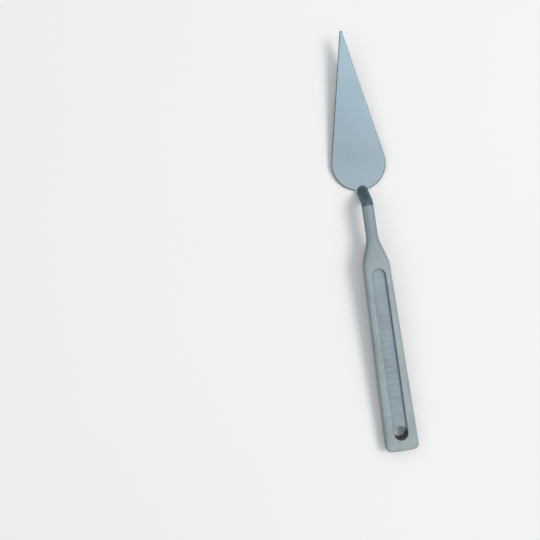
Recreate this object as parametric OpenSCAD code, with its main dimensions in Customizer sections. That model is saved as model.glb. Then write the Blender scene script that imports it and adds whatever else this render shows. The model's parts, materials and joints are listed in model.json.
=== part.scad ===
// Cranked palette knife with a pear-shaped blade and a moulded handle.
// Millimetres. The origin is the middle of the hanging hole, half way through the handle's thickness.
// +Y runs along the handle towards the blade's tip, and +Z comes out of the handle's recessed face.

/* [Handle] */
// Thickness of the grip
handle_thickness = 9.5; // [8:0.1:12]
// Width of the grip across the hanging hole
end_width = 18.6; // [16:0.1:22]
// Width of the grip at its shoulder, where the flare begins
shoulder_width = 14.9; // [12:0.1:16]
// Distance from the hanging hole to the shoulder
shoulder_y = 97.8; // [90:0.1:104]
// Distance from the hanging hole to the square end of the handle
end_margin = 10.5; // [8:0.1:14]
// Radius of the two end corners, seen from above
corner_radius = 3; // [1:0.1:5]
// Squareness of the grip's cross-section, where 2 is an ellipse
grip_squareness = 5; // [3:0.5:7]
// How much is taken off the front and the back to leave flat lands
land_cut = 0.1; // [0.05:0.05:0.3]

/* [Neck] */
// Diameter of the moulded neck and of the bare steel that it meets
neck_diameter = 6.7; // [5:0.1:8]
// Angle of the flare's sides to the handle's axis
flare_angle = 17.5; // [12:0.5:25]
// Distance from the hanging hole to the place where the neck starts to bend down
bend_start_y = 128.7; // [120:0.1:134]
// How much of the bend the moulding covers
moulded_angle = 12.5; // [5:0.5:30]

/* [Recess] */
// Width of the sunk panel
recess_width = 8; // [6:0.1:9]
// Distance from the hanging hole to the far end of the sunk panel
recess_end_y = 94.5; // [70:0.1:95]
// Depth of the sunk panel
recess_depth = 1.9; // [0.6:0.1:2]
// Diameter of the hanging hole
hole_diameter = 7.6; // [5:0.1:7.8]
// Number of plain grip ribs that stand on the panel
rib_count = 14; // [6:1:16]
// Distance from the hanging hole to the first rib
rib_start_y = 20; // [12:0.5:24]
// Distance from one rib to the next
rib_pitch = 3.6; // [3:0.1:4]
// Length of each rib across the panel
rib_length = 4.7; // [3:0.1:5.5]
// Height of each rib above the panel
rib_height = 0.35; // [0.1:0.05:0.6]

/* [Shank] */
// Distance from the handle's axis down to the blade's upper face, measured where the shank stands on it
blade_drop = 14.3; // [10:0.1:18]
// Steepness of the shank's drop
crank_angle = 65; // [55:1:75]
// Centreline radius of the shank's bend
bend_radius = 4.5; // [4:0.1:8]
// Diameter of the tang inside the handle
tang_diameter = 4; // [3:0.1:4.5]
// Length of the tang inside the handle, with its flattened end
tang_length = 70; // [50:1:90]

/* [Blade] */
// Length of the blade from its round heel to its tip
blade_length = 90.2; // [60:0.1:110]
// Width of the blade at its round heel
blade_width = 31.2; // [20:0.1:36]
// Thickness of the spring steel
blade_thickness = 0.6; // [0.4:0.05:1]
// Radius of the blade's tip
tip_radius = 0.8; // [0.5:0.1:3]
// Upward pitch of the blade from the handle's axis
blade_pitch = 4; // [0:0.5:8]
// Width of the tab under the shank's end
tab_width = 4.8; // [3:0.1:5]
// Length of the tab behind the round heel
tab_length = 4.4; // [2:0.1:5]
// Height of the weld bead around the shank's end
weld_height = 1.5; // [0.8:0.1:1.8]
// How far the weld bead reaches out from the shank
weld_reach = 0.9; // [0.4:0.1:1.5]

/* [Hidden] */
$fn = 64;
// a small overlap for cuts that run past a face
slack = 0.5;

// handle
half_thickness = handle_thickness / 2;
neck_radius = neck_diameter / 2;
grip_taper = (end_width - shoulder_width) / 2 / shoulder_y;
flare_slope = tan(flare_angle);
// how far the shoulder and the neck are blended into the flare
shoulder_blend = 0.7;
neck_blend = 1.1;
// the flare's side passes through the shoulder's corner
flare_end_y = shoulder_y + (shoulder_width / 2 - neck_radius) / flare_slope;
// the cross-section changes from the grip's to the neck's between these two places
section_from = shoulder_y - 2.3;
section_to = flare_end_y + 2;
// edge rounding of the handle's square end, seen from the side
end_edge_radius = 1.6;
ring_points = 32;
// the skin ends a little inside the round neck
skin_end_radius = neck_radius - 0.02;
// where the moulding ends
neck_end_y = bend_start_y + bend_radius * sin(moulded_angle);
// half the grip's thickness before its lands are cut
uncut_depth = half_thickness + land_cut;
panel_z = half_thickness - recess_depth;

// the straight part of the shank runs from the bend to the blade's upper face
rod_radius = neck_radius;
straight_length = (blade_drop - bend_radius * (1 - cos(crank_angle))) / sin(crank_angle);
foot_y = bend_start_y + bend_radius * sin(crank_angle) + straight_length * cos(crank_angle);
// distance along the blade's plane from the shank's axis to the heel's edge
heel_offset = 0.75;
// where two rods meet, one is a hair slimmer and reaches a little way into the other
hair = 0.01;
reach = 0.15;
reach_angle = 2;

// tang
spade_length = 12;
spade_width = 5.6;
spade_thickness = 2.2;
notch_radius = 0.9;

// rounded minimum and maximum of two lengths, blended over k
function soft_min(a, b, k) = let (h = max(0, k - abs(a - b)) / k) min(a, b) - h * h * k / 4;
function soft_max(a, b, k) = let (h = max(0, k - abs(a - b)) / k) max(a, b) + h * h * k / 4;

// how much a corner of radius r takes off a side, at distance d from the end
function corner_loss(r, d) = d >= r ? 0 : r - sqrt(r * r - (r - d) * (r - d));

// half the handle's width at y
function grip_side(y) = end_width / 2 - grip_taper * y;
function flare_side(y) = neck_radius + flare_slope * (flare_end_y - y);
function half_width(y) =
  soft_max(skin_end_radius, soft_min(grip_side(y), flare_side(y), shoulder_blend), neck_blend)
  - corner_loss(corner_radius, y + end_margin);

// 0 in the grip, 1 in the neck, with an even blend between them
function neck_share(y) =
  let (t = min(1, max(0, (y - section_from) / (section_to - section_from))))
  t * t * (3 - 2 * t);
function half_depth(y) =
  uncut_depth + (skin_end_radius - uncut_depth) * neck_share(y)
  - corner_loss(end_edge_radius, y + end_margin);
function squareness(y) = grip_squareness + (2 - grip_squareness) * neck_share(y);

// one coordinate of a superellipse of half size a and exponent n, at the angle whose cosine or sine is c
function bowed(a, c, n) = a * sign(c) * pow(abs(c), 2 / n);
function ring(y) = [
  for (i = [0 : ring_points - 1])
    let (turn = 360 * i / ring_points, n = squareness(y))
    [bowed(half_width(y), cos(turn), n), y, bowed(half_depth(y), sin(turn), n)]
];

// stations along the handle: close together round the end and along the flare
end_steps = 5;
grip_steps = 8;
flare_steps = 14;
flare_from = shoulder_y - 5;
flare_to = flare_end_y + 4;
grip_from = corner_radius - end_margin;
ring_stations = concat(
  [for (i = [0 : end_steps]) -end_margin + corner_radius * (1 - cos(90 * i / end_steps))],
  [for (i = [1 : grip_steps]) grip_from + (flare_from - grip_from) * i / grip_steps],
  [for (i = [1 : flare_steps]) flare_from + (flare_to - flare_from) * i / flare_steps]
);

// a closed skin through rings of equal length
module skin(rings) {
  count = len(rings[0]);
  last = len(rings) - 1;
  sides = [
    for (r = [0 : last - 1], i = [0 : count - 1])
      let (next = (i + 1) % count)
      [r * count + i, r * count + next, (r + 1) * count + next, (r + 1) * count + i]
  ];
  first_cap = [for (i = [count - 1 : -1 : 0]) i];
  last_cap = [for (i = [0 : count - 1]) last * count + i];
  polyhedron(points = [for (r = rings, p = r) p], faces = concat([first_cap], sides, [last_cap]));
}

// a bar along +Y
module bar_y(radius, length) {
  rotate([-90, 0, 0])
    cylinder(r = radius, h = length);
}

// the part of the bend between two angles, for a rod of this radius
module bend(radius, from, to) {
  translate([0, bend_start_y, -bend_radius])
    rotate([-from, 0, 0])
      rotate([0, -90, 0])
        rotate_extrude(angle = to - from)
          translate([bend_radius, 0])
            circle(r = radius);
}

module tang() {
  tang_start_y = neck_end_y - tang_length;
  translate([0, tang_start_y, 0])
    bar_y(tang_diameter / 2, bend_start_y - tang_start_y);
  bend(tang_diameter / 2 - hair, -reach_angle, moulded_angle + reach_angle);
  translate([0, tang_start_y, 0])
    spade();
}

// flattened end of the tang, notched so that the moulding locks on it
module spade() {
  difference() {
    translate([-spade_width / 2, 0, -spade_thickness / 2])
      cube([spade_width, spade_length, spade_thickness]);
    for (side = [-1, 1])
      translate([side * spade_width / 2, spade_length / 2, -spade_thickness])
        cylinder(r = notch_radius, h = 2 * spade_thickness);
  }
}

// moves its children to the blade's upper face: its origin is on the shank's axis, +Y along the blade
module on_blade() {
  translate([0, foot_y, -blade_drop])
    rotate([blade_pitch, 0, 0])
      children();
}

module blade_outline() {
  heel_radius = blade_width / 2;
  heel_y = heel_offset + heel_radius;
  tip_y = heel_offset + blade_length - tip_radius;
  // the straight edges leave both circles at the same angle
  side_angle = asin((heel_radius - tip_radius) / (tip_y - heel_y));
  across = cos(side_angle);
  along = sin(side_angle);
  translate([0, heel_y])
    circle(r = heel_radius, $fn = 180);
  translate([0, tip_y])
    circle(r = tip_radius);
  polygon([
    [-heel_radius * across, heel_y + heel_radius * along],
    [heel_radius * across, heel_y + heel_radius * along],
    [tip_radius * across, tip_y + tip_radius * along],
    [-tip_radius * across, tip_y + tip_radius * along]
  ]);
}

module blade() {
  color([0.66, 0.74, 0.79])
    on_blade()
      translate([0, 0, -blade_thickness])
        linear_extrude(height = blade_thickness) {
          blade_outline();
          translate([-tab_width / 2, heel_offset - tab_length])
            square([tab_width, tab_length + rod_radius]);
        }
}

// bare steel rod: it bends out of the moulding and drops steeply, through the blade's plane
module crank() {
  bend(rod_radius, moulded_angle, crank_angle);
  translate([0, bend_start_y, 0])
    translate([0, bend_radius * sin(crank_angle), -bend_radius * (1 - cos(crank_angle))])
      rotate([-crank_angle, 0, 0])
        translate([0, -reach, 0])
          bar_y(rod_radius - hair, straight_length + rod_radius + reach);
}

module shank() {
  below = 3 * rod_radius;
  color([0.30, 0.38, 0.42]) {
    tang();
    difference() {
      crank();
      // the end is cut flat where it stands on the blade
      on_blade()
        translate([-rod_radius - slack, -below, -below])
          cube([2 * (rod_radius + slack), 2 * below, below]);
    }
  }
}

// fillet of weld metal round the shank's end, on the blade's upper face
module weld_bead() {
  outer = rod_radius + weld_reach;
  inner = rod_radius / 2;
  color([0.55, 0.62, 0.66])
    difference() {
      on_blade()
        intersection() {
          rotate_extrude()
            polygon([
              [inner, 0],
              [outer, 0],
              [rod_radius + weld_reach / 3, weld_height / 3],
              [rod_radius, weld_height],
              [inner, weld_height]
            ]);
          linear_extrude(height = 2 * weld_height)
            intersection() {
              blade_outline();
              translate([-outer, 0])
                square([2 * outer, 2 * outer]);
            }
        }
      crank();
    }
}

// round-ended slot from the hanging hole along the handle
module slot(width, length, height) {
  cylinder(d = width, h = height);
  translate([-width / 2, 0, 0])
    cube([width, length - width / 2, height]);
  translate([0, length - width / 2, 0])
    cylinder(d = width, h = height);
}

module handle() {
  color([0.60, 0.65, 0.67]) {
    difference() {
      union() {
        // the slab cuts a flat land on each face
        intersection() {
          skin([for (y = ring_stations) ring(y)]);
          translate([-end_width, -2 * end_margin, -half_thickness])
            cube([2 * end_width, bend_start_y + 4 * end_margin, handle_thickness]);
        }
        translate([0, flare_end_y, 0])
          bar_y(neck_radius, bend_start_y - flare_end_y);
        bend(neck_radius - hair, -reach_angle, moulded_angle);
      }
      translate([0, 0, panel_z])
        slot(recess_width, recess_end_y, recess_depth + slack);
      translate([0, 0, -half_thickness - slack])
        cylinder(d = hole_diameter, h = handle_thickness + 2 * slack);
      tang();
    }
    ribs();
  }
}

// plain raised ribs on the sunk panel
module ribs() {
  rib_width = 1.1;
  for (i = [0 : rib_count - 1])
    translate([-rib_length / 2, rib_start_y + i * rib_pitch, panel_z - slack])
      cube([rib_length, rib_width, rib_height + slack]);
}

blade();
shank();
weld_bead();
handle();
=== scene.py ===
import json
import math

import bmesh
import bpy
import numpy as np
from mathutils import Matrix, Vector


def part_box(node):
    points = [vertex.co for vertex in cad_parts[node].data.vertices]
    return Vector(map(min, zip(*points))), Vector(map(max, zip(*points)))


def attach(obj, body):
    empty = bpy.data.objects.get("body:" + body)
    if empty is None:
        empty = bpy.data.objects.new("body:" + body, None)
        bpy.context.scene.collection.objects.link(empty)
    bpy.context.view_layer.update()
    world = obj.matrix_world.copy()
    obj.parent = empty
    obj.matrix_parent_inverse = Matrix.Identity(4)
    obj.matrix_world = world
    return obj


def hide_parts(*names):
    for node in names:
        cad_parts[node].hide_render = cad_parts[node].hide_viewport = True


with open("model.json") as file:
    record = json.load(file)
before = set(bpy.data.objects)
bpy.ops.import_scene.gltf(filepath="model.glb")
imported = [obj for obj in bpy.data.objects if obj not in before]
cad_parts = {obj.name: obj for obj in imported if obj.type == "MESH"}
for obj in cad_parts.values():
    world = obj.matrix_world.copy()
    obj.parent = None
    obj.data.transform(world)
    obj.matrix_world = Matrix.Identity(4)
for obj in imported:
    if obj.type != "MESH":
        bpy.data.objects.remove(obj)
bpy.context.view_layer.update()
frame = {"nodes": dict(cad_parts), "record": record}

# Lengths are in millimetres until a mesh is made. The frame is the CAD's: the origin is the middle
# of the hanging hole, +Y runs to the blade's tip and +Z comes out of the handle's recessed face.
MM = 0.001


def box_mm(node):
    """Lowest and highest corner of a CAD node, in millimetres."""
    low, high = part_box(node)
    return np.array(low) / MM, np.array(high) / MM


HANDLE_LOW, HANDLE_HIGH = box_mm("handle")
SHANK_LOW, _ = box_mm("shank")
BLADE_LOW, BLADE_HIGH = box_mm("blade")
HOLE = next(m for m in frame["record"]["mounts"] if m["name"] == "hanging_hole")

# Handle
HALF_THICKNESS = HANDLE_HIGH[2]
END_MARGIN = -HANDLE_LOW[1]
END_WIDTH, SHOULDER_WIDTH, SHOULDER_Y = 18.6, 14.9, 97.8
CORNER_RADIUS, END_EDGE_RADIUS = 3.0, 1.6
GRIP_SQUARENESS, NECK_RADIUS = 5.0, 3.35
FLARE_SLOPE = math.tan(math.radians(17.5))
SHOULDER_BLEND, NECK_BLEND = 0.7, 1.1
FLARE_END_Y = SHOULDER_Y + (SHOULDER_WIDTH / 2 - NECK_RADIUS) / FLARE_SLOPE
SECTION_FROM, SECTION_TO = SHOULDER_Y - 2.3, FLARE_END_Y + 2.0
UNCUT_DEPTH = HALF_THICKNESS + 0.1
HOLE_RADIUS = HOLE["dims"]["r_mm"]
PANEL_Z = HALF_THICKNESS - 1.9
RECESS_RADIUS, RECESS_END_Y = 4.0, 94.5
RIBS = 14
RIB_START_Y, RIB_PITCH, RIB_LENGTH, RIB_WIDTH, RIB_HEIGHT = 20.0, 3.6, 4.7, 1.1, 0.35
PIN_MARKS_Y = (9.6, 81.0)
PIN_MARK_RADIUS = 2.3
# small roundings: rims, the panel's edge, and where a land runs into the side
RIM, FLOOR_FILLET, LAND_BLEND = 0.4, 0.35, 0.12
# points in a quarter of the handle's cross-section
RING_STEPS = 24

# Shank
ROD_RADIUS, TANG_RADIUS = NECK_RADIUS, 2.0
TANG_START_Y = SHANK_LOW[1]
SHANK_DROP, CRANK_ANGLE = 14.3, math.radians(65)
BEND_START_Y, BEND_RADIUS, MOULDED_ANGLE = 128.7, 4.5, math.radians(12.5)
SPADE_LENGTH, SPADE_HALF_WIDTH, SPADE_HALF_DEPTH, NOTCH_RADIUS = 12.0, 2.8, 1.1, 0.9

# the weld's outer edge on the blade, with room for its ripple
WELD_RADIUS = ROD_RADIUS + 0.8

# Blade
BLADE_LENGTH, BLADE_WIDTH, BLADE_THICKNESS = 90.2, BLADE_HIGH[0] - BLADE_LOW[0], 0.6
TIP_RADIUS, BLADE_PITCH, HEEL_OFFSET = 0.8, math.radians(4), 0.75
TAB_HALF_WIDTH, TAB_LENGTH = 2.4, 4.4
HEEL_RADIUS = BLADE_WIDTH / 2
HEEL_Y = HEEL_OFFSET + HEEL_RADIUS
TIP_Y = HEEL_OFFSET + BLADE_LENGTH - TIP_RADIUS

STRAIGHT_LENGTH = (SHANK_DROP - BEND_RADIUS * (1 - math.cos(CRANK_ANGLE))) / math.sin(CRANK_ANGLE)
FOOT_Y = (
    BEND_START_Y + BEND_RADIUS * math.sin(CRANK_ANGLE) + STRAIGHT_LENGTH * math.cos(CRANK_ANGLE)
)
# takes the blade's own frame to the CAD frame: its origin is on the shank's axis, on the upper face
ON_BLADE = Matrix.Translation((0, FOOT_Y, -SHANK_DROP)) @ Matrix.Rotation(BLADE_PITCH, 4, "X")


# ---------- small maths ----------


def soft_min(a, b, k):
    h = np.maximum(0, k - np.abs(a - b)) / k
    return np.minimum(a, b) - h * h * k / 4


def soft_max(a, b, k):
    return -soft_min(-a, -b, k)


def smooth_step(low, high, value):
    t = np.clip((value - low) / (high - low), 0, 1)
    return t * t * (3 - 2 * t)


def corner_loss(radius, distance):
    """How much a rounded corner takes off a side, at a distance from the end."""
    if distance >= radius:
        return 0.0
    return radius - math.sqrt(max(0.0, radius**2 - (radius - distance) ** 2))


def placed(points, matrix):
    """An array of points, moved by a 4x4 matrix."""
    m = np.array(matrix)
    return points @ m[:3, :3].T + m[:3, 3]


# ---------- mesh tools ----------


def make_object(name, points, faces, materials=()):
    """A mesh object from points in millimetres."""
    mesh = bpy.data.meshes.new(name)
    mesh.from_pydata((np.asarray(points, float) * MM).tolist(), [], faces)
    mesh.update()
    for m in materials:
        mesh.materials.append(m)
    obj = bpy.data.objects.new(name, mesh)
    bpy.context.scene.collection.objects.link(obj)
    return obj


def skin(loops, first_cap=True, last_cap=True):
    """Points and faces of a closed skin through loops of equal length."""
    loops = np.asarray(loops, float)
    rows, count = loops.shape[:2]
    faces = []
    for r in range(rows - 1):
        for i in range(count):
            j = (i + 1) % count
            faces.append((r * count + i, r * count + j, (r + 1) * count + j, (r + 1) * count + i))
    if first_cap:
        faces.append(tuple(range(count - 1, -1, -1)))
    if last_cap:
        faces.append(tuple((rows - 1) * count + i for i in range(count)))
    return loops.reshape(-1, 3), faces


def joined(parts):
    """One list of points and faces from several."""
    points, faces, start = [], [], 0
    for p, f in parts:
        points.append(p)
        faces += [tuple(i + start for i in face) for face in f]
        start += len(p)
    return np.concatenate(points), faces


def face_outwards(obj):
    bm = bmesh.new()
    bm.from_mesh(obj.data)
    bmesh.ops.recalc_face_normals(bm, faces=bm.faces)
    bm.to_mesh(obj.data)
    bm.free()


def tidy(obj, distance=2e-6):
    """Merges doubles and drops slivers that a cut leaves."""
    bm = bmesh.new()
    bm.from_mesh(obj.data)
    bmesh.ops.remove_doubles(bm, verts=bm.verts, dist=distance)
    bmesh.ops.dissolve_degenerate(bm, edges=bm.edges, dist=distance)
    loose = [v for v in bm.verts if not v.link_faces]
    bmesh.ops.delete(bm, geom=loose, context="VERTS")
    bm.to_mesh(obj.data)
    bm.free()


def bake_modifiers(obj):
    """Replaces obj's mesh with its modified one and drops the modifiers."""
    bpy.context.view_layer.update()
    depsgraph = bpy.context.evaluated_depsgraph_get()
    mesh = bpy.data.meshes.new_from_object(
        obj.evaluated_get(depsgraph), preserve_all_data_layers=True, depsgraph=depsgraph
    )
    obj.modifiers.clear()
    old = obj.data
    obj.data = mesh
    bpy.data.meshes.remove(old)


def combine(obj, tool, operation):
    """Exact boolean of obj with tool, which is then removed."""
    face_outwards(tool)
    modifier = obj.modifiers.new("combine", "BOOLEAN")
    modifier.operation = operation
    modifier.solver = "EXACT"
    modifier.object = tool
    bake_modifiers(obj)
    bpy.data.objects.remove(tool)


def shade(obj, sharp_degrees):
    """Smooth shading with sharp edges past an angle, and normals weighted by face area."""
    obj.data.shade_smooth()
    obj.data.set_sharp_from_angle(angle=math.radians(sharp_degrees))
    modifier = obj.modifiers.new("weighted", "WEIGHTED_NORMAL")
    modifier.keep_sharp = True
    modifier.weight = 80
    bake_modifiers(obj)


def quarter(centre, radius, start, end, steps):
    """Points of an arc, as (offset, height) pairs; angles in degrees."""
    angles = np.radians(np.linspace(start, end, steps + 1))
    return [
        (centre[0] + radius * math.cos(a), centre[1] + radius * math.sin(a)) for a in angles
    ]


# ---------- materials ----------


class Nodes:
    """Short calls for building a material's nodes."""

    def __init__(self, name):
        self.material = bpy.data.materials.new(name)
        self.material.use_nodes = True
        self.tree = self.material.node_tree
        self.tree.nodes.clear()
        output = self.tree.nodes.new("ShaderNodeOutputMaterial")
        self.shader = self.tree.nodes.new("ShaderNodeBsdfPrincipled")
        self.tree.links.new(self.shader.outputs[0], output.inputs["Surface"])

    def add(self, kind, inputs=None, **settings):
        node = self.tree.nodes.new(kind)
        for key, value in settings.items():
            setattr(node, key, value)
        for key, value in (inputs or {}).items():
            self.put(node.inputs[key], value)
        return node

    def put(self, socket, value):
        if isinstance(value, bpy.types.NodeSocket):
            self.tree.links.new(value, socket)
        else:
            socket.default_value = value

    def where(self):
        """The CAD frame's coordinates, in metres."""
        return self.add("ShaderNodeTexCoord").outputs["Object"]

    def stretched(self, scale, source=None):
        source = source or self.where()
        return self.add("ShaderNodeMapping", {"Vector": source, "Scale": scale}).outputs[0]

    def noise(self, scale, vector=None, detail=2.0, roughness=0.5, distortion=0.0):
        vector = vector or self.where()
        node = self.add(
            "ShaderNodeTexNoise",
            {
                "Vector": vector,
                "Scale": scale,
                "Detail": detail,
                "Roughness": roughness,
                "Distortion": distortion,
            },
        )
        return node.outputs["Fac"]

    def span(self, value, low, high, to_low=0.0, to_high=1.0, smooth=False):
        node = self.add(
            "ShaderNodeMapRange",
            {
                "Value": value,
                "From Min": low,
                "From Max": high,
                "To Min": to_low,
                "To Max": to_high,
            },
            interpolation_type="SMOOTHSTEP" if smooth else "LINEAR",
        )
        return node.outputs["Result"]

    def sum(self, *values):
        total = values[0]
        for v in values[1:]:
            total = self.add("ShaderNodeMath", {0: total, 1: v}, operation="ADD").outputs[0]
        return total

    def times(self, a, b):
        return self.add("ShaderNodeMath", {0: a, 1: b}, operation="MULTIPLY").outputs[0]

    def mix(self, share, a, b):
        node = self.add("ShaderNodeMix", data_type="RGBA")
        self.put(node.inputs["Factor"], share)
        self.put(node.inputs[6], (*a, 1.0) if isinstance(a, tuple) else a)
        self.put(node.inputs[7], (*b, 1.0) if isinstance(b, tuple) else b)
        return node.outputs[2]

    def bump(self, height, depth, strength=1.0, after=None):
        inputs = {"Height": height, "Distance": depth, "Strength": strength}
        if after is not None:
            inputs["Normal"] = after
        return self.add("ShaderNodeBump", inputs).outputs[0]

    def axis(self, name):
        return self.add("ShaderNodeSeparateXYZ", {0: self.where()}).outputs[name]

    def finish(self, **sockets):
        for key, value in sockets.items():
            name = key.replace("_", " ")
            if isinstance(value, tuple) and len(value) == 3:
                value = (*value, 1.0)
            self.put(self.shader.inputs[name], value)
        return self.material


def plastic_material(name, pale, deep, warm, grain_depth, roughness, panel=False):
    """Moulded grey plastic: fine spark-eroded grain, faint clouding and a few light specks. Off the
    panel it also carries painted shade, darker on the neck and down the sides.
    """
    n = Nodes(name)
    clouds = n.noise(55.0, detail=3.0, roughness=0.6)
    patches = n.noise(210.0, detail=2.0)
    tone = n.span(n.sum(n.times(clouds, 0.6), n.times(patches, 0.4)), 0.36, 0.64, smooth=True)
    colour = n.mix(tone, deep, pale)
    warmth = n.span(n.noise(38.0, detail=1.0), 0.45, 0.72, 0.0, 0.55, smooth=True)
    colour = n.mix(warmth, colour, warm)
    if not panel:
        # the neck is painted darker than the grip, partly as painted shade; the sides between the
        # two lands are painted darker still, as painted shade
        y = n.axis("Y")
        colour = n.mix(n.span(y, 0.086, 0.116, smooth=True), colour, (0.225, 0.285, 0.318))
        from_middle = n.add("ShaderNodeMath", {0: n.axis("Z")}, operation="ABSOLUTE").outputs[0]
        height = n.sum(from_middle, n.span(y, 0.098, 0.115, 0.0, 0.0017, smooth=True))
        side_painted_shade = n.span(height, 0.0042, 0.0031, 0.0, 0.55, smooth=True)
        colour = n.mix(side_painted_shade, colour, (0.130, 0.175, 0.200))
    specks = n.span(n.noise(2600.0, detail=1.0), 0.66, 0.76, 0.0, 0.35)
    speck_colour = tuple(min(1.0, c * 1.45) for c in pale)
    colour = n.mix(specks, colour, speck_colour)
    pits = n.noise(5200.0, detail=3.0, roughness=0.65)
    waves = n.noise(420.0, detail=2.0)
    normal = n.bump(pits, grain_depth)
    normal = n.bump(waves, 0.00004, 0.35, normal)
    uneven = n.sum(n.times(pits, 0.5), n.times(patches, 0.5))
    rough = n.span(uneven, 0.3, 0.7, roughness - 0.07, roughness + 0.07)
    return n.finish(Base_Color=colour, Roughness=rough, Normal=normal, IOR=1.49)


def blade_material(name, dark=1.0):
    """Spring steel, polished lengthwise: fine lines, soft cloudy tone and faint smears."""
    n = Nodes(name)
    y = n.axis("Y")
    far = n.span(n.sum(y, n.times(n.noise(28.0, detail=1.0), 0.05)), 0.165, 0.235, smooth=True)
    middle = tuple(c * dark for c in (0.322, 0.392, 0.448))
    tip = tuple(c * dark for c in (0.392, 0.520, 0.592))
    heel = tuple(c * dark for c in (0.366, 0.452, 0.492))
    colour = n.mix(far, middle, tip)
    near = n.span(n.sum(y, n.times(n.noise(40.0, detail=1.0), 0.04)), 0.185, 0.160, smooth=True)
    colour = n.mix(near, colour, heel)
    streaks = n.noise(1.0, n.stretched((5200.0, 55.0, 900.0)), detail=3.0, roughness=0.6)
    fine = n.noise(1.0, n.stretched((16000.0, 160.0, 900.0)), detail=2.0)
    smear = n.noise(60.0, detail=3.0, roughness=0.55, distortion=0.6)
    shade_of = n.span(n.sum(n.times(streaks, 0.5), n.times(smear, 0.5)), 0.35, 0.65, 0.0, 0.24)
    colour = n.mix(shade_of, colour, tuple(c * 0.85 * dark for c in (0.314, 0.380, 0.436)))
    rough = n.span(n.sum(n.times(fine, 0.5), n.times(smear, 0.5)), 0.3, 0.7, 0.14, 0.20)
    normal = n.bump(n.sum(n.times(streaks, 0.5), n.times(fine, 0.5)), 0.0000035)
    normal = n.bump(n.noise(45.0, detail=1.0), 0.00006, 0.6, normal)
    return n.finish(Base_Color=colour, Metallic=1.0, Roughness=rough, Normal=normal)


def rod_material(name):
    """Drawn steel rod with a dark skin: lines along its length, a few rubbed spots."""
    n = Nodes(name)
    along = n.add("ShaderNodeAttribute", attribute_name="along").outputs["Fac"]
    around = n.add("ShaderNodeAttribute", attribute_name="around").outputs["Fac"]
    place = n.add("ShaderNodeCombineXYZ", {0: around, 1: along}).outputs[0]
    lines = n.noise(1.0, n.stretched((5.5, 0.16, 1.0), place), detail=3.0, roughness=0.6)
    blotch = n.noise(240.0, detail=3.0, roughness=0.6)
    rubbed = n.span(n.sum(n.times(lines, 0.5), n.times(blotch, 0.5)), 0.42, 0.66, smooth=True)
    colour = n.mix(rubbed, (0.088, 0.140, 0.165), (0.120, 0.180, 0.205))
    rough = n.span(n.sum(n.times(lines, 0.5), n.times(blotch, 0.5)), 0.3, 0.7, 0.62, 0.52)
    normal = n.bump(lines, 0.000012)
    normal = n.bump(n.noise(1500.0, detail=3.0), 0.000012, 0.7, normal)
    return n.finish(Base_Color=colour, Metallic=0.7, Roughness=rough, Normal=normal)


def weld_material(name):
    """Bright weld metal, brushed clean; its pale colour is partly a painted highlight. Small pits
    and a faint heat tint.
    """
    n = Nodes(name)
    tint = n.noise(420.0, detail=2.0)
    colour = n.mix(n.span(tint, 0.4, 0.65, smooth=True), (0.66, 0.74, 0.78), (0.80, 0.86, 0.87))
    pits = n.noise(2600.0, detail=3.0, roughness=0.65)
    rough = n.span(pits, 0.3, 0.7, 0.26, 0.42)
    normal = n.bump(pits, 0.00002)
    return n.finish(Base_Color=colour, Metallic=1.0, Roughness=rough, Normal=normal)


def floor_material(name):
    n = Nodes(name)
    colour = n.mix(n.noise(6.0, detail=2.0), (0.83, 0.83, 0.83), (0.85, 0.85, 0.85))
    return n.finish(Base_Color=colour, Roughness=0.9)


# ---------- handle ----------


def half_width(y):
    grip = END_WIDTH / 2 - (END_WIDTH - SHOULDER_WIDTH) / 2 / SHOULDER_Y * y
    flare = NECK_RADIUS + FLARE_SLOPE * (FLARE_END_Y - y)
    width = soft_max(NECK_RADIUS, soft_min(grip, flare, SHOULDER_BLEND), NECK_BLEND)
    return width - corner_loss(CORNER_RADIUS, y + END_MARGIN)


def half_depth(y):
    share = smooth_step(SECTION_FROM, SECTION_TO, y)
    depth = UNCUT_DEPTH + (NECK_RADIUS - UNCUT_DEPTH) * share
    return depth - corner_loss(END_EDGE_RADIUS, y + END_MARGIN)


def squareness(y):
    return GRIP_SQUARENESS + (2 - GRIP_SQUARENESS) * smooth_step(SECTION_FROM, SECTION_TO, y)


def even_quadrant(a, b, exponent, steps):
    """Points of a superellipse's first quadrant, evenly spaced along it, from (a, 0) to (0, b)."""
    angles = np.linspace(0, math.pi / 2, 2001)
    x = a * np.maximum(np.cos(angles), 0) ** (2 / exponent)
    z = b * np.sin(angles) ** (2 / exponent)
    length = np.concatenate([[0], np.cumsum(np.hypot(np.diff(x), np.diff(z)))])
    wanted = np.linspace(0, length[-1], steps + 1)
    return np.interp(wanted, length, x), np.interp(wanted, length, z)


def all_round(x, up):
    """A closed outline from the points of its first quadrant."""
    right_up = np.stack([x, up], 1)
    left_up = right_up[::-1] * (-1, 1)
    left_down = right_up * (-1, -1)
    right_down = right_up[::-1] * (1, -1)
    return np.concatenate([right_up[:-1], left_up[:-1], left_down[:-1], right_down[:-1]])


def ring(a, b, exponent, y):
    """One closed cross-section of the handle, cut by a flat land on each face."""
    x, z = even_quadrant(a, b, exponent, RING_STEPS)
    outline = all_round(x, soft_min(z, HALF_THICKNESS, LAND_BLEND))
    return np.stack([outline[:, 0], np.full(len(outline), y), outline[:, 1]], 1)


def handle_stations():
    end = [-END_MARGIN + CORNER_RADIUS * (1 - math.cos(a)) for a in np.linspace(0, math.pi / 2, 15)]
    grip = np.linspace(CORNER_RADIUS - END_MARGIN, SHOULDER_Y - 5, 52)[1:]
    flare = np.linspace(SHOULDER_Y - 5, FLARE_END_Y + 4, 52)[1:]
    neck = np.linspace(FLARE_END_Y + 4, BEND_START_Y, 16)[1:]
    return [*end, *grip, *flare, *neck]


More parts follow.
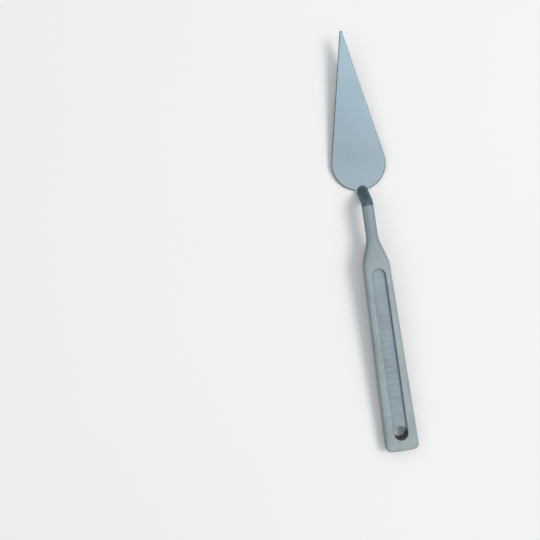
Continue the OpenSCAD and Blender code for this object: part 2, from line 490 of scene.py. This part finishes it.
def stadium(offset, z, end_y=RECESS_END_Y, radius=RECESS_RADIUS, steps=40):
    """Closed outline of the sunk panel, let out by offset."""
    r = radius + offset
    far = end_y - radius
    angles = np.linspace(0, math.pi, steps + 1)
    top = [(r * math.cos(a), far + r * math.sin(a), z) for a in angles]
    bottom = [(r * math.cos(a), r * math.sin(a), z) for a in angles + math.pi]
    return top + bottom


def circle(centre, radius, z, steps=72):
    angles = np.linspace(0, 2 * math.pi, steps, endpoint=False)
    return [(centre[0] + radius * math.cos(a), centre[1] + radius * math.sin(a), z) for a in angles]


def rounded_bar(y, inset, z):
    """Outline of one rib, taken in by inset."""
    corner = 0.4
    half_x, half_y = RIB_LENGTH / 2 - corner, RIB_WIDTH / 2 - corner
    outline = []
    for turn, (sx, sy) in enumerate(((1, 1), (-1, 1), (-1, -1), (1, -1))):
        for a in np.linspace(turn, turn + 1, 7) * math.pi / 2:
            r = corner - inset
            outline.append((sx * half_x + r * math.cos(a), y + sy * half_y + r * math.sin(a), z))
    return outline


def handle_moulding(plastic, panel, wall_painted_shade):
    rings = []
    for y in handle_stations():
        rings.append(ring(half_width(y), half_depth(y), squareness(y), y))
    first = rings[0]
    middle = np.array([0, first[0][1], 0])
    shrunk = [middle + (first - middle) * share for share in (0.4, 0.8)]
    rings = shrunk + rings
    # the neck follows the bend and ends in a rounded rim on the rod
    rim_angle = MOULDED_ANGLE - RIM / BEND_RADIUS
    for a in np.linspace(0, rim_angle, 5)[1:]:
        rings.append(oval(bend_point(a), a, NECK_RADIUS, NECK_RADIUS, steps=RING_STEPS))
    for radius, reach in quarter((NECK_RADIUS - RIM, 0), RIM, 0, 90, 6)[1:]:
        a = rim_angle + reach / BEND_RADIUS
        rings.append(oval(bend_point(a), a, radius, radius, steps=RING_STEPS))
    obj = make_object("handle_moulding", *skin(rings), [plastic, panel, wall_painted_shade])
    face_outwards(obj)

    # sunk panel: small fillet at the floor, rounded rim at the land
    rim_z = HALF_THICKNESS - RIM
    past = 0.06
    profile = quarter((-FLOOR_FILLET, PANEL_Z + FLOOR_FILLET), FLOOR_FILLET, -90, 0, 6)
    for a in np.radians([0, 16, 32, 48, 64, 80]):
        profile.append((RIM - RIM * math.cos(a), rim_z + RIM * math.sin(a)))
    profile += [(RIM + past, HALF_THICKNESS + past), (RIM + past, HALF_THICKNESS + 1)]
    recess = make_object("recess", *skin([stadium(o, z) for o, z in profile]))
    combine(obj, recess, "DIFFERENCE")

    # hanging hole, with a small break at the panel and a rounded rim on the back
    back = -HALF_THICKNESS
    outer = HOLE_RADIUS + RIM + past
    hole_profile = [(outer, back - 1), (outer, back - past)]
    for a in np.radians([10, 26, 42, 58, 74, 90]):
        hole_profile.append(
            (HOLE_RADIUS + RIM - RIM * math.sin(a), back + RIM - RIM * math.cos(a))
        )
    broken = HOLE_RADIUS + 0.1
    hole_profile += [
        (HOLE_RADIUS, PANEL_Z - 0.12),
        (broken, PANEL_Z + 0.02),
        (broken, PANEL_Z + 0.25),
    ]
    hole = make_object("hole", *skin([circle((0, 0), r, z) for r, z in hole_profile]))
    combine(obj, hole, "DIFFERENCE")

    # plain ribs on the panel
    stack = [(0.0, -0.3), (0.0, 0.16), (0.04, 0.25), (0.12, 0.32), (0.25, RIB_HEIGHT)]
    ribs = []
    for i in range(RIBS):
        y = RIB_START_Y + RIB_WIDTH / 2 + i * RIB_PITCH
        ribs.append(skin([rounded_bar(y, inset, PANEL_Z + z) for inset, z in stack]))
    combine(obj, make_object("ribs", *joined(ribs)), "UNION")

    # shallow marks of the mould's ejector pins
    marks = []
    for y in PIN_MARKS_Y:
        stack = [(-0.06, -0.12), (0.0, -0.06), (0.0, 0.3)]
        marks.append(skin([circle((0, y), PIN_MARK_RADIUS + o, PANEL_Z + z, 56) for o, z in stack]))
    combine(obj, make_object("marks", *joined(marks)), "DIFFERENCE")

    # room for the tang
    combine(obj, make_object("tang_room", *skin(tang_rings(MOULDED_ANGLE + 0.2))), "DIFFERENCE")

    tidy(obj)
    paint_panel(obj)
    shade(obj, 32)
    return obj


def paint_panel(obj):
    """The panel's floor, ribs and marks take the second material, the walls in it and in the hole
    the third, which is painted shade.
    """
    for p in obj.data.polygons:
        x, y, z = p.center / MM
        inside = abs(x) < RECESS_RADIUS and -RECESS_RADIUS < y < RECESS_END_Y
        raised = PANEL_Z - 0.13 < z < PANEL_Z + RIB_HEIGHT + 0.02
        on_a_rib = abs(x) < RIB_LENGTH / 2 + 0.02 and y > HOLE_RADIUS + 0.5
        if inside and raised and (p.normal.z > 0.9 or on_a_rib):
            p.material_index = 1
        elif abs(p.normal.z) < 0.6:
            in_the_hole = math.hypot(x, y) < HOLE_RADIUS + 0.15
            past = 0.2
            across = abs(x) < RECESS_RADIUS + past
            along = -RECESS_RADIUS - past < y < RECESS_END_Y + past
            # these walls take the near-black painted shade
            if in_the_hole or across and along and z > PANEL_Z:
                p.material_index = 2


# ---------- shank ----------


def oval(centre, tilt, half_width, half_depth, exponent=2.0, steps=16):
    """A cross-section of the rod. tilt is how steeply the rod points down there, in radians."""
    outline = all_round(*even_quadrant(half_width, half_depth, exponent, steps))
    y = centre[0] + outline[:, 1] * math.sin(tilt)
    z = centre[1] + outline[:, 1] * math.cos(tilt)
    return np.stack([outline[:, 0], y, z], 1)


def bend_point(angle):
    """The centreline's (y, z) where the bend has turned by angle."""
    return BEND_START_Y + BEND_RADIUS * math.sin(angle), -BEND_RADIUS * (1 - math.cos(angle))


def tang_rings(end_angle):
    """The tang: flattened and notched at its far end, then round, into the bend."""
    rings = []
    start = TANG_START_Y
    spade_end = start + SPADE_LENGTH
    ys = np.concatenate(
        [np.linspace(start, spade_end + 3, 61), np.linspace(spade_end + 3, BEND_START_Y, 24)[1:]]
    )
    for y in ys:
        flat = 1 - smooth_step(spade_end - 1.5, spade_end + 1.5, y)
        width = TANG_RADIUS + (SPADE_HALF_WIDTH - TANG_RADIUS) * flat
        depth = TANG_RADIUS + (SPADE_HALF_DEPTH - TANG_RADIUS) * flat
        from_notch = abs(y - (start + SPADE_LENGTH / 2))
        if from_notch < NOTCH_RADIUS:
            width -= math.sqrt(NOTCH_RADIUS**2 - from_notch**2)
        ease = corner_loss(0.3, y - start)
        rings.append(oval((y, 0), 0, width - ease, depth - ease, 2 + 4 * flat))
    for a in np.linspace(0, end_angle, 5)[1:]:
        rings.append(oval(bend_point(a), a, TANG_RADIUS, TANG_RADIUS))
    return rings


def crank_path():
    """Stations of the bare rod, as (centre y, centre z, tilt), to a little below the blade."""
    path = [(*bend_point(a), a) for a in np.linspace(MOULDED_ANGLE, CRANK_ANGLE, 25)]
    y, z, _ = path[-1]
    for s in np.linspace(0, STRAIGHT_LENGTH + ROD_RADIUS, 17)[1:]:
        path.append((y + s * math.cos(CRANK_ANGLE), z - s * math.sin(CRANK_ANGLE), CRANK_ANGLE))
    return path


def shank_rod(steel):
    rings = tang_rings(MOULDED_ANGLE - 0.001)
    path = crank_path()
    # a small break on the shoulder that the moulding covers
    for turn, ease in ((0.0, 0.25), (0.018, 0.08)):
        a = MOULDED_ANGLE + turn
        rings.append(oval(bend_point(a), a, ROD_RADIUS - ease, ROD_RADIUS - ease))
    for y, z, tilt in path[1:]:
        rings.append(oval((y, z), tilt, ROD_RADIUS, ROD_RADIUS))
    obj = make_object("shank_rod", *skin(rings), [steel])
    face_outwards(obj)

    # the end is cut flat where it stands on the blade
    half, low = ROD_RADIUS + 1, 3 * ROD_RADIUS
    corners = [(-half, -low), (half, -low), (half, low), (-half, low)]
    loops = np.array([[(x, y, z) for x, y in corners] for z in (-low, 0.0)])
    cut_points, cut_faces = skin(placed(loops, ON_BLADE))
    combine(obj, make_object("ground", cut_points, cut_faces), "DIFFERENCE")
    tidy(obj)
    mark_rod(obj, path)
    shade(obj, 35)
    return obj


def mark_rod(obj, path):
    """Stores how far along and around the rod each point is, for the drawn lines."""
    line = np.array([(TANG_START_Y, 0.0), (BEND_START_Y, 0.0)] + [(y, z) for y, z, _ in path])
    tilts = np.array([0.0, 0.0] + [t for _, _, t in path])
    reach = np.concatenate([[0], np.cumsum(np.hypot(*np.diff(line, axis=0).T))])
    points = np.array([v.co for v in obj.data.vertices]) / MM
    along, around = [], []
    for x, y, z in points:
        best = None
        for i in range(len(line) - 1):
            a, d = line[i], line[i + 1] - line[i]
            t = min(1.0, max(0.0, float(np.dot((y - a[0], z - a[1]), d) / np.dot(d, d))))
            gap = math.hypot(*(a + d * t - (y, z)))
            if best is None or gap < best[0]:
                best = (gap, i, t)
        _, i, t = best
        tilt = tilts[i] + (tilts[i + 1] - tilts[i]) * t
        at = line[i] + (line[i + 1] - line[i]) * t
        up = (y - at[0]) * math.sin(tilt) + (z - at[1]) * math.cos(tilt)
        along.append(reach[i] + (reach[i + 1] - reach[i]) * t)
        around.append(abs(math.atan2(x, up)) * ROD_RADIUS * (1 if x >= 0 else -1))
    for name, values in (("along", along), ("around", around)):
        attribute = obj.data.attributes.new(name, "FLOAT", "POINT")
        attribute.data.foreach_set("value", np.array(values, np.float32))


# ---------- weld ----------


def weld_fillet(metal):
    """Concave fillet of weld metal on the blade, round the shank's front half."""
    # heights above the blade, and how much of the weld's reach is left there
    profile = [(0.0, 1.0), (0.10, 0.72), (0.27, 0.48), (0.55, 0.28), (0.92, 0.13), (1.28, 0.03)]
    inner = [(1.45, -0.10), (1.30, -0.60), (0.40, -0.80), (0.0, -0.80)]
    slope = CRANK_ANGLE + BLADE_PITCH
    half_length = ROD_RADIUS / math.sin(slope)
    loops = []
    start, end = math.radians(7.5), math.radians(172.5)
    for a in np.linspace(start, end, 97):
        rim = smooth_step(0, 0.2, a - start) * smooth_step(0, 0.2, end - a)
        ripple = 1 + 0.07 * math.sin(23 * a + 0.6) + 0.05 * math.sin(41 * a)
        width = WELD_RADIUS - math.hypot(
            ROD_RADIUS * math.cos(a), half_length * math.sin(a)
        )
        loop = []
        for h, share in profile + inner:
            out = share * width * (0.35 + 0.65 * rim) * ripple if share > 0 else share
            h *= 0.5 + 0.5 * rim
            x = (ROD_RADIUS + out) * math.cos(a)
            y = (half_length + out) * math.sin(a) - h / math.tan(slope)
            loop.append((x, y, h))
        loops.append(loop)
    points, faces = skin(placed(np.array(loops), ON_BLADE))
    obj = make_object("weld_fillet", points, faces, [metal])
    face_outwards(obj)
    shade(obj, 50)
    return obj


# ---------- blade ----------


def blade_half_outline():
    """Right half of the outline in the blade's frame, from the tab's end to the tip."""
    side_angle = math.asin((HEEL_RADIUS - TIP_RADIUS) / (TIP_Y - HEEL_Y))
    tab_end = HEEL_OFFSET - TAB_LENGTH
    half, fillet = TAB_HALF_WIDTH, 0.6
    points = [(0.0, tab_end), (half * 0.4, tab_end), (half * 0.75, tab_end)]
    corner = 0.35
    for a in np.radians([-90, -60, -30, 0]):
        points.append(
            (half - corner + corner * math.cos(a), tab_end + corner + corner * math.sin(a))
        )
    # small fillet between the tab and the round heel
    centre_x = half + fillet
    centre_y = HEEL_Y - math.sqrt((HEEL_RADIUS + fillet) ** 2 - centre_x**2)
    meet = math.atan2(HEEL_Y - centre_y, -centre_x)
    for a in np.linspace(math.pi, meet, 7):
        points.append((centre_x + fillet * math.cos(a), centre_y + fillet * math.sin(a)))
    heel_start = math.atan2(points[-1][1] - HEEL_Y, points[-1][0])
    for a in np.linspace(heel_start, side_angle, 58)[1:]:
        points.append((HEEL_RADIUS * math.cos(a), HEEL_Y + HEEL_RADIUS * math.sin(a)))
    last = np.array(points[-1])
    tip_side = np.array(
        [TIP_RADIUS * math.cos(side_angle), TIP_Y + TIP_RADIUS * math.sin(side_angle)]
    )
    for t in np.linspace(0, 1, 61)[1:]:
        points.append(tuple(last + (tip_side - last) * t))
    for a in np.linspace(side_angle, math.pi / 2, 13)[1:]:
        points.append((TIP_RADIUS * math.cos(a), TIP_Y + TIP_RADIUS * math.sin(a)))
    return np.array(points)


def inset_outline(outline, inset):
    """The closed outline taken in by a small amount, square to itself."""
    before, after = np.roll(outline, 1, 0), np.roll(outline, -1, 0)
    a, b = outline - before, after - outline
    a /= np.linalg.norm(a, axis=1)[:, None]
    b /= np.linalg.norm(b, axis=1)[:, None]
    normal = np.stack([-(a + b)[:, 1], (a + b)[:, 0]], 1)
    normal /= np.linalg.norm(normal, axis=1)[:, None]
    cosine = np.maximum(0.5, np.abs(np.sum(normal * np.stack([-a[:, 1], a[:, 0]], 1), 1)))
    return outline + normal * (inset / cosine)[:, None]


def blade_drop(outline_share, y):
    """How far a face is ground down. The share is 0 at the edge and 1 on the middle line."""
    thin_tip = 0.10 * smooth_step(20, 92, y)
    crown = 0.015 * (1 - outline_share) ** 2 * smooth_step(2, 14, y)
    return thin_tip + crown


def blade_sheet(steel, edge_steel_painted_shade):
    right = blade_half_outline()
    left = right[::-1][1:-1] * (-1, 1)
    outline = np.concatenate([right, left])
    mid = -BLADE_THICKNESS / 2
    # how far in from the edge, and half the thickness there
    edge_profile = [
        (0.45, 0.30),
        (0.26, 0.298),
        (0.12, 0.285),
        (0.05, 0.25),
        (0.012, 0.18),
        (0.0, 0.0),
    ]
    inner_shares = [1.0, 0.86, 0.72, 0.58, 0.44, 0.30, 0.18, 0.08]
    rim = inset_outline(outline, edge_profile[0][0])
    low_y, high_y = HEEL_OFFSET - TAB_LENGTH + 0.9, TIP_Y + 0.1
    spine = np.stack([np.zeros(len(rim)), np.clip(rim[:, 1], low_y, high_y)], 1)
    loops, kinds = [], []

    def layer(flat, share, half, side, kind):
        z = mid + side * (half - blade_drop(share, flat[:, 1]))
        loops.append(np.column_stack([flat, z]))
        kinds.append(kind)

    for share in inner_shares:
        layer(rim + (spine - rim) * share, share, 0.30, 1, 0)
    for inset, half in edge_profile:
        layer(inset_outline(outline, inset), 0.0, half, 1 if half else 0, 1)
    for inset, half in edge_profile[-2::-1]:
        layer(inset_outline(outline, inset), 0.0, half, -1, 1)
    for share in inner_shares[::-1]:
        layer(rim + (spine - rim) * share, share, 0.30, -1, 0)

    points, faces = skin(placed(np.array(loops), ON_BLADE), False, False)
    obj = make_object("blade_sheet", points, faces, [steel, edge_steel_painted_shade])
    count = len(outline)
    for p in obj.data.polygons:
        row = p.index // count
        p.material_index = 1 if kinds[row] and kinds[row + 1] else 0
    # the two halves of the innermost loops meet on the middle line
    tidy(obj, 1e-6)
    face_outwards(obj)
    shade(obj, 60)
    return obj


# ---------- floor, camera and light ----------


def resting_floor():
    """A point and the unit normal of the plane that the knife rests on, in metres."""
    cloud = np.concatenate(
        [[tuple(v.co)[1:] for v in node.data.vertices] for node in frame["nodes"].values()]
    )
    cloud = cloud[np.lexsort((cloud[:, 1], cloud[:, 0]))]
    hull = []
    for p in cloud:
        while len(hull) > 1:
            (ay, az), (by, bz) = hull[-2], hull[-1]
            if (by - ay) * (p[1] - az) - (bz - az) * (p[0] - ay) > 0:
                break
            hull.pop()
        hull.append(p)
    balance_y = 0.05
    for a, b in zip(hull, hull[1:]):
        if a[0] <= balance_y <= b[0]:
            slope = math.atan2(b[1] - a[1], b[0] - a[0])
            return Vector((0, a[0], a[1])), Vector((0, -math.sin(slope), math.cos(slope)))
    raise ValueError("the hull has no edge under the handle")


FLOOR_POINT, FLOOR_UP = resting_floor()
ALONG = Vector((1, 0, 0)).cross(FLOOR_UP) * -1
# the knife leans a little to the left in the picture
LEAN = math.radians(8.67)
PICTURE_UP = ALONG * math.cos(LEAN) + Vector((1, 0, 0)) * math.sin(LEAN)
PICTURE_RIGHT = PICTURE_UP.cross(FLOOR_UP)
hole_on_floor = Vector((0, 0, 0)) - FLOOR_UP * (Vector((0, 0, 0)) - FLOOR_POINT).dot(FLOOR_UP)
PICTURE_MIDDLE = hole_on_floor + ALONG * 0.1023 - Vector((1, 0, 0)) * 0.0594


def over_floor(right, up, height):
    """A point by its distances, in metres, from the middle of the picture on the floor."""
    return PICTURE_MIDDLE + PICTURE_RIGHT * right + PICTURE_UP * up + FLOOR_UP * height


def facing(location, target, up):
    """Rotation of a lamp or camera that looks at target."""
    back = (location - target).normalized()
    right = up.cross(back).normalized()
    return Matrix((right, back.cross(right), back)).transposed().to_quaternion()


def add_floor():
    half, cells = 3.0, 24
    steps = np.linspace(-half, half, cells + 1)
    points = [over_floor(x, y, 0) / MM for y in steps for x in steps]
    faces = []
    for r in range(cells):
        for c in range(cells):
            i = r * (cells + 1) + c
            faces.append((i, i + 1, i + cells + 2, i + cells + 1))
    floor = make_object("floor", points, faces, [floor_material("pale_floor")])


def add_camera():
    data = bpy.data.cameras.new("camera")
    data.lens, data.sensor_width = 56.0, 36.0
    data.clip_start, data.clip_end = 0.01, 20.0
    camera = bpy.data.objects.new("camera", data)
    bpy.context.scene.collection.objects.link(camera)
    camera.location = over_floor(0, 0, 0.485)
    camera.rotation_mode = "QUATERNION"
    camera.rotation_quaternion = facing(camera.location, PICTURE_MIDDLE, PICTURE_UP)
    bpy.context.scene.camera = camera


def add_softbox(name, location, target, size, watts, colour):
    data = bpy.data.lights.new(name, "AREA")
    data.shape = "RECTANGLE"
    data.size, data.size_y = size
    data.energy, data.color = watts, colour
    lamp = bpy.data.objects.new(name, data)
    bpy.context.scene.collection.objects.link(lamp)
    lamp.location = location
    lamp.rotation_mode = "QUATERNION"
    lamp.rotation_quaternion = facing(location, target, PICTURE_UP)
    lamp.visible_camera = False


def add_world():
    world = bpy.data.worlds.new("studio")
    bpy.context.scene.world = world
    world.use_nodes = True
    background = world.node_tree.nodes["Background"]
    background.inputs["Color"].default_value = (0.93, 0.97, 1.0, 1.0)
    background.inputs["Strength"].default_value = 0.31


plastic = plastic_material(
    "grip_plastic",
    pale=(0.318, 0.380, 0.402),
    deep=(0.260, 0.316, 0.336),
    warm=(0.310, 0.340, 0.334),
    grain_depth=0.000016,
    roughness=0.52,
)
# the panel's darker, bluer colour is partly painted shade and painted reflection of the bluish
# fill; its lower roughness is its own smoother finish
panel = plastic_material(
    "panel_plastic_painted_shade",
    pale=(0.262, 0.332, 0.380),
    deep=(0.226, 0.286, 0.330),
    warm=(0.238, 0.290, 0.335),
    grain_depth=0.000010,
    roughness=0.46,
    panel=True,
)
# painted shade: the walls of the sunk panel and the hanging hole are painted near-black for the
# shade in them
wall_painted_shade = plastic_material(
    "wall_plastic_painted_shade",
    pale=(0.105, 0.125, 0.145),
    deep=(0.080, 0.098, 0.115),
    warm=(0.095, 0.112, 0.128),
    grain_depth=0.000012,
    roughness=0.55,
    panel=True,
)
steel = blade_material("sheet_steel")
# painted shade and painted dark reflection: the ground edge is painted at 0.28 of the blade's tone,
# for the dark line along the blade's edge
edge_steel_painted_shade = blade_material("sheet_edge_painted_shade", dark=0.28)

pieces = [
    (handle_moulding(plastic, panel, wall_painted_shade), "handle", "handle_plastic"),
    (shank_rod(rod_material("rod_steel")), "shank", "shank_steel"),
    (weld_fillet(weld_material("weld_steel")), "weld_bead", "weld_metal"),
    (blade_sheet(steel, edge_steel_painted_shade), "blade", "blade_steel"),
]
for obj, node, slot in pieces:
    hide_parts(node)
    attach(obj, "root")

add_floor()
add_camera()
add_softbox(
    "key",
    over_floor(1.07, 0.16, 1.90),
    over_floor(0.03, 0.0, 0),
    size=(0.7, 0.7),
    watts=19.5,
    colour=(1.0, 0.97, 0.92),
)
add_softbox(
    "top",
    over_floor(0.0, 0.15, 1.30),
    over_floor(0, 0.15, 0),
    size=(3.0, 3.0),
    watts=19.5,
    colour=(0.95, 0.98, 1.0),
)
add_world()
bpy.context.scene.view_settings.view_transform = "Standard"
